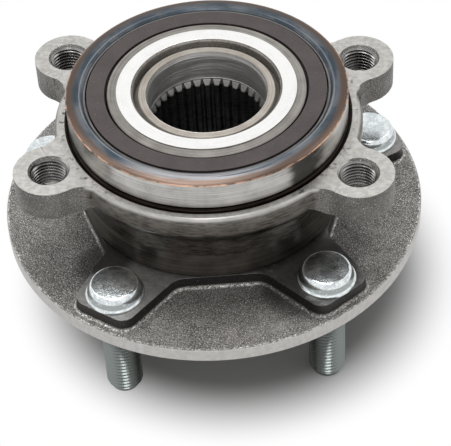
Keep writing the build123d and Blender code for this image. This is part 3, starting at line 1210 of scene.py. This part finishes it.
@dataclass
class Hub:
    """Flanged spindle: where each finish lies on it."""

    pad_z: float = 9.6
    disc_z: float = 5.2
    rim_r: float = 69.0
    pilot_r: float = 36.0
    bore_r: float = 19.2
    spline_z: float = 40.4
    end_z: float = 51.0
    bevel_z: float = 48.6
    dark_right: Spot = Spot(33.0, -39.0, 20.0, 13.0)
    dark_left: Spot = Spot(-33.0, -33.0, 12.0, 7.0)
    drift: float = 9.0
    edge_highlight: float = 0.9

    def metal(self, at: Place) -> Surface:
        """Finishes of the hub, region by region.

        Args:
            at: Position on the part.

        Returns:
            The surface.
        """
        radius, z, disc_z, pad_z = at.radius, at.z, self.disc_z, self.pad_z
        drift = at.sheet.noise(at.solid(), self.drift, 4.0, 0.6)
        # Two patches on the front pads, the right one broken up, are darkened towards near black and
        # made glossier.
        dark_patches = (at.near(self.dark_right) * drift.rise(0.26, 0.46) | at.near(self.dark_left)) * 0.72

        # The pads' side walls are near black: dark forging skin, and painted shade in the valleys
        # between the pads.
        wall = z.band(disc_z + 1.0, pad_z - 0.2, 0.4)
        # Painted highlight: light specks along the pads' foot fillets and the rim's upper edge, where
        # these curves catch the light.
        foot = z.band(disc_z + 0.1, disc_z + 0.6, 0.2)
        lip = radius.rise(self.rim_r - 0.5, self.rim_r - 0.1) * z.rise(disc_z - 0.4, disc_z - 0.1)
        edge_highlight = at.sheet.noise(at.solid(), self.edge_highlight, 3.0, 0.6).rise(0.44, 0.56) * (foot | lip)
        pads = z.rise(pad_z - 0.12, pad_z - 0.03)
        rim = radius.rise(self.rim_r - 0.1, self.rim_r + 0.1) * z.rise(disc_z - 0.1, disc_z - 0.4)
        pilot = radius.rise(self.pilot_r + 0.5, self.pilot_r - 0.5) * z.rise(pad_z - 0.2, pad_z)
        side = z.rise(self.bevel_z - 0.5, self.bevel_z - 0.1)
        end = z.rise(self.end_z - 0.12, self.end_z - 0.04)
        bore = radius.rise(self.bore_r + 0.5, self.bore_r)
        cone = z.rise(self.spline_z + 0.1, self.spline_z - 0.6) * 0.5
        teeth = z.rise(self.spline_z - 2.2, self.spline_z - 2.8) * 0.5

        surface = SKIN(at).topped(wall, PAD_WALL_AND_SHADE(at))
        surface = surface.topped(edge_highlight, PAINTED_EDGE_HIGHLIGHT(at)).topped(pads, PAD_FACE(at))
        surface = surface.stained_or_shaded(dark_patches, NEAR_BLACK, 0.20).topped(rim, RIM_EDGE(at))
        surface = surface.topped(z.rise(0.6, 0.1), TURNED_FACE(at))
        surface = surface.topped(pilot, TURNED(at)).topped(side, END_SIDE(at))
        surface = surface.topped(end, END_FACE(at)).topped(bore, PLAIN_BORE(at))
        return surface.topped(bore * (cone + teeth), BROACHED(at))


@dataclass
class InnerRing:
    """Separate inner ring: bright ground face, turned corners."""

    end_z: float = 52.7
    heel_r: float = 25.0
    rust: float = 0.9

    def metal(self, at: Place) -> Surface:
        """Finishes of the ring.

        Args:
            at: Position on the part.

        Returns:
            The surface.
        """
        rust = at.sheet.noise(at.solid(), self.rust, 4.0, 0.65).rise(0.54, 0.64) * 0.8
        bore = DULL_BORE(at).stained_or_shaded(rust, RUST, 0.7)
        inside = at.radius.rise(self.heel_r, self.heel_r - 0.4)
        face = at.z.rise(self.end_z - 0.10, self.end_z - 0.02)
        surface = CORNER(at).topped(inside, bore)
        return surface.topped(face, GROUND(at))


@dataclass
class WheelStud:
    """Pressed-in wheel stud with a domed head and a rolled M12 thread."""

    circle_r: float = 57.15
    first_angle: float = -119.4
    count: int = 5
    pad_z: float = 9.6
    skirt_r: float = 9.33
    skirt_t: float = 0.9
    foot_r: float = 8.9
    waist_r: float = 8.5
    waist_h: float = 1.6
    side_r: float = 8.15
    side_h: float = 2.9
    top_r: float = 6.8
    top_h: float = 4.9
    knurl_r: float = 6.24
    crest_r: float = 5.95
    root_r: float = 5.12
    pitch: float = 1.5
    tip_z: float = -33.4
    tip_r: float = 4.6
    tip_l: float = 1.6
    thread_top_z: float = -1.8
    crown_steps: int = 10
    head_facets: int = 72
    shank_facets: int = 64
    thread_facets: int = 44
    smooth_angle: float = 32.0

    def head_outline(self) -> list[Point]:
        """Outline of the head and the part that is pressed into the flange.

        Returns:
            Closed outline of (radius, height).
        """
        pad_z, top_z = self.pad_z, self.thread_top_z
        radii = (self.side_r - self.top_r, self.top_h - self.side_h)
        crown = arc((self.top_r, pad_z + self.side_h), radii, 0.0, pi / 2, self.crown_steps)
        return [
            (0, top_z - 0.6),
            (self.root_r, top_z - 0.6),
            (self.root_r + 0.1, top_z),
            (self.crest_r - 0.1, top_z + 0.9),
            (self.knurl_r, 0.6),
            (self.knurl_r, pad_z - 0.2),
            (self.skirt_r - 0.1, pad_z + 0.03),
            (self.skirt_r, pad_z + 0.15),
            (self.skirt_r, pad_z + self.skirt_t - 0.2),
            (self.skirt_r - 0.2, pad_z + self.skirt_t),
            (self.foot_r, pad_z + self.skirt_t + 0.15),
            (self.waist_r, pad_z + self.waist_h),
            *crown,
            (self.top_r * 0.5, pad_z + self.top_h + 0.12),
            (0, pad_z + self.top_h + 0.16),
        ]

    def shank(self) -> Piece:
        """Threaded shank with its chamfered tip, about Z.

        Returns:
            The shank.
        """
        tip_z, top_z, clear_r = self.tip_z, self.thread_top_z, self.crest_r + 0.05
        flat = self.pitch / 8
        flank = (self.pitch - 2 * flat) / 2
        tooth = [
            (self.root_r, 0),
            (self.root_r, flat),
            (self.crest_r, flat + flank),
            (self.crest_r, 2 * flat + flank),
            (self.root_r, self.pitch),
        ]
        start = tip_z - 2 * self.pitch
        shank = Bench.outline("shank", [(r, z + start) for r, z in tooth], close=False)
        turns = int((top_z - start) / self.pitch) + 2
        Bench.screwed(shank, self.pitch, turns, self.thread_facets)
        Bench.sliced(shank, tip_z - 0.2, keep_above=True)
        Bench.sliced(shank, top_z - 0.3, keep_above=False)
        envelope = [
            (0, tip_z),
            (self.tip_r - 0.4, tip_z),
            (self.tip_r, tip_z + 0.4),
            (self.tip_r, tip_z + self.tip_l),
            (clear_r, tip_z + self.tip_l + 1.3),
            (clear_r, top_z + 1),
            (0, top_z + 1),
        ]
        tool = Bench.spun("shank_envelope", envelope, self.shank_facets)
        Bench.combined(shank, tool, "INTERSECT")
        return shank

    def build(self) -> None:
        """Model one stud and set a copy of it at each of the five places."""
        master = Bench.spun("stud_master", self.head_outline(), self.head_facets)
        Bench.combined(master, self.shank(), "UNION")
        Bench.smooth(master, self.smooth_angle)
        zinc = material("zinc_plate", ZINC)
        for number in range(self.count):
            angle = radians(self.first_angle + number * 360 / self.count)
            out = Matrix.Translation((self.circle_r * MM, 0, 0))
            move = Matrix.Rotation(angle, 4, "Z") @ out
            stud = Bench.copy(master, f"stud_{number + 1}", move)
            present(stud, Body.SPINDLE, zinc)
            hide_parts(f"wheel_stud_{number + 1}")
        bpy.data.objects.remove(master)


class Coat(Enum):
    """CAD nodes that keep their shapes: part of their names, their material and its recipe."""

    HUB = ("hub", "hub_metal", Hub().metal)
    INNER_RING = ("inner_ring", "inner_ring_metal", InnerRing().metal)
    BALLS = ("_ball_", "lapped_steel", LAPPED)
    CAGES = ("_cage", "cage_nylon", NYLON)
    CASES = ("_case", "seal_sheet", DARK_SHEET)
    SLINGER = ("encoder_slinger", "slinger_sheet", BLACK_SHEET)
    LIPS = ("_lip", "seal_rubber", RUBBER)
    SPEED_RING = ("encoder_ring", "encoder_rubber", ENCODER)

    def lay(self) -> None:
        """Make the material and give it to its nodes."""
        mark, name, recipe = self.value
        skin = material(name, recipe)
        for node_name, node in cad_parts.items():
            if mark in node_name:
                node.data.materials.clear()
                node.data.materials.append(skin)
                LOG.info("%s is coated with %s", node_name, name)


def present(piece: Piece, body: Body, skin: bpy.types.Material) -> None:
    """Finish a new piece: its material and body.

    Args:
        piece: The piece.
        body: CAD body that it rides on.
        skin: Its finish.
    """
    piece.data.materials.clear()
    piece.data.materials.append(skin)
    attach(piece, body.value)
    LOG.info("%s: %d faces, rides on %s", piece.name, len(piece.data.polygons), body.value)


# ---- stage


@dataclass(frozen=True)
class Lamp:
    """Square soft box that faces the object.

    Attributes:
        name: Its name.
        azimuth: Its direction round the bearing axis in degrees.
        elevation: Its height over the floor in degrees.
        size: Its side.
        watts: Its power.
        distance: Its distance from the object.
    """

    name: str
    azimuth: float
    elevation: float
    size: float
    watts: float
    distance: float = 1800.0

    def build(self) -> None:
        """Set the lamp up."""
        light = bpy.data.lights.new(self.name, "AREA")
        light.size = self.size * MM
        light.energy = self.watts
        lamp = bpy.data.objects.new(self.name, light)
        lamp.location = heading(self.azimuth, self.elevation) * (self.distance * MM)
        lamp.rotation_euler = lamp.location.to_track_quat("Z", "Y").to_euler()
        bpy.context.scene.collection.objects.link(lamp)


LAMPS = (
    Lamp("top", 120.0, 78.0, 800.0, 14.0),
    Lamp("front", -88.0, 66.0, 600.0, 4.4),
    Lamp("back_left", 150.0, 50.0, 500.0, 2.4),
    Lamp("back_right", 40.0, 52.0, 500.0, 2.0),
)


@dataclass
class Studio:
    """Floor, lamps, surroundings and camera."""

    floor_z: float = -33.45
    floor_size: float = 6000.0
    floor_tone: float = 0.62
    shaded_floor_tone: float = 0.40
    shade: Spot = Spot(6.5, 2.0, 51.0, 81.0)
    wall_light: float = 0.38
    ceiling_light: float = 0.42
    azimuth: float = -84.05
    elevation: float = 44.532
    distance: float = 629.92
    roll: float = -3.711
    focal_px: float = 1863.94
    centre_u: float = 214.034
    centre_v: float = 204.991
    sensor: float = 36.0
    near: float = 10.0
    grain: float = 25.0

    def floor(self) -> None:
        """White floor that holds the soft shadow, and a painted shadow: inside the shade patch round the
        object the camera and metal see it painted darker, and beyond the patch plain white.
        """
        Bench.clear()
        below = (0, 0, self.floor_z * MM)
        bpy.ops.mesh.primitive_plane_add(size=self.floor_size * MM, location=below)
        floor = bpy.context.object
        floor.name = "floor"
        paper = bpy.data.materials.new("floor_paper")
        sheet = Sheet(paper)
        seen = sheet.ray("Camera") | self.mirrored(sheet)
        place = sheet.place()
        grain = sheet.noise(place.solid(), self.grain) * 0.02
        # Painted shadow: near the object what the camera and metal see is painted darker than what the
        # floor gives other rays.
        tone = blend(self.floor_tone, self.shaded_floor_tone, seen) + grain
        paint = sheet.node("ShaderNodeBsdfDiffuse", {}, {0: sheet.vector(tone, tone, tone)})
        white = sheet.node("ShaderNodeEmission", {}, {"Strength": 1.0})
        faded = seen * place.near(self.shade)
        sockets = {0: faded, 1: paint.outputs[0], 2: white.outputs[0]}
        shader = sheet.node("ShaderNodeMixShader", {}, sockets)
        sheet.node("ShaderNodeOutputMaterial", {}, {0: shader.outputs[0]})
        floor.data.materials.append(paper)

    def mirrored(self, sheet: Sheet) -> Signal:
        """Mask of what metal and glass show.

        Args:
            sheet: Node sheet that the mask is made on.

        Returns:
            1 for a glossy or a transmitted ray.
        """
        return sheet.ray("Glossy") | sheet.ray("Transmission")

    def world(self) -> None:
        """Dim studio ceiling, white behind the object."""
        world = bpy.data.worlds.new("studio")
        bpy.context.scene.world = world
        sheet = Sheet(world)
        way = sheet.node("ShaderNodeTexCoord", {}, {}).outputs["Generated"]
        height = Signal(sheet, sheet.node("ShaderNodeSeparateXYZ", {}, {0: way}).outputs[2])
        white = sheet.ray("Camera") | self.mirrored(sheet) * height.rise(0.97, 0.80)
        light = blend(self.wall_light, self.ceiling_light, height.rise(0.0, 0.8))
        light = blend(light, 1.0, white)
        sockets = {"Color": (1.0, 1.0, 1.0), "Strength": light}
        background = sheet.node("ShaderNodeBackground", {}, sockets)
        sheet.node("ShaderNodeOutputWorld", {}, {0: background.outputs[0]})

    def camera(self) -> None:
        """Camera at its place round the object, with its roll and shift."""
        roll = radians(self.roll)
        out = heading(self.azimuth, self.elevation)
        forward = -out
        level = forward.cross(Vector((0, 0, 1))).normalized()
        upright = level.cross(forward)
        right = level * cos(roll) + upright * sin(roll)
        up = upright * cos(roll) - level * sin(roll)
        turn = Matrix((right, up, out)).transposed().to_4x4()
        lens = bpy.data.cameras.new("camera")
        lens.sensor_width = self.sensor
        lens.lens = self.focal_px / IMAGE_WIDTH * lens.sensor_width
        lens.shift_x = (IMAGE_WIDTH / 2 - self.centre_u) / IMAGE_WIDTH
        lens.shift_y = (self.centre_v - IMAGE_HEIGHT / 2) / IMAGE_WIDTH
        lens.clip_start = self.near * MM
        eye = bpy.data.objects.new("camera", lens)
        eye.matrix_world = Matrix.Translation(out * self.distance * MM) @ turn
        bpy.context.scene.collection.objects.link(eye)
        bpy.context.scene.camera = eye

    def build(self) -> None:
        """Set up everything round the object."""
        self.floor()
        for lamp in LAMPS:
            lamp.build()
        self.world()
        self.camera()
        bpy.context.scene.view_settings.view_transform = "Standard"


def heading(azimuth: float, elevation: float) -> Vector:
    """Direction of length 1.

    Args:
        azimuth: Angle round Z from X in degrees.
        elevation: Angle over the floor in degrees.

    Returns:
        The direction.
    """
    turn, rise = radians(azimuth), radians(elevation)
    return Vector((cos(turn) * cos(rise), sin(turn) * cos(rise), sin(rise)))


def main() -> None:
    """Dress the CAD nodes, add the new pieces and set the stage."""
    logging.basicConfig(level=logging.INFO, format="%(name)s: %(message)s")
    ring = OuterRing()
    ring.forging()
    ring.threads()
    for coat in Coat:
        coat.lay()
    WheelStud().build()
    Studio().build()


if __name__ == "__main__":
    main()
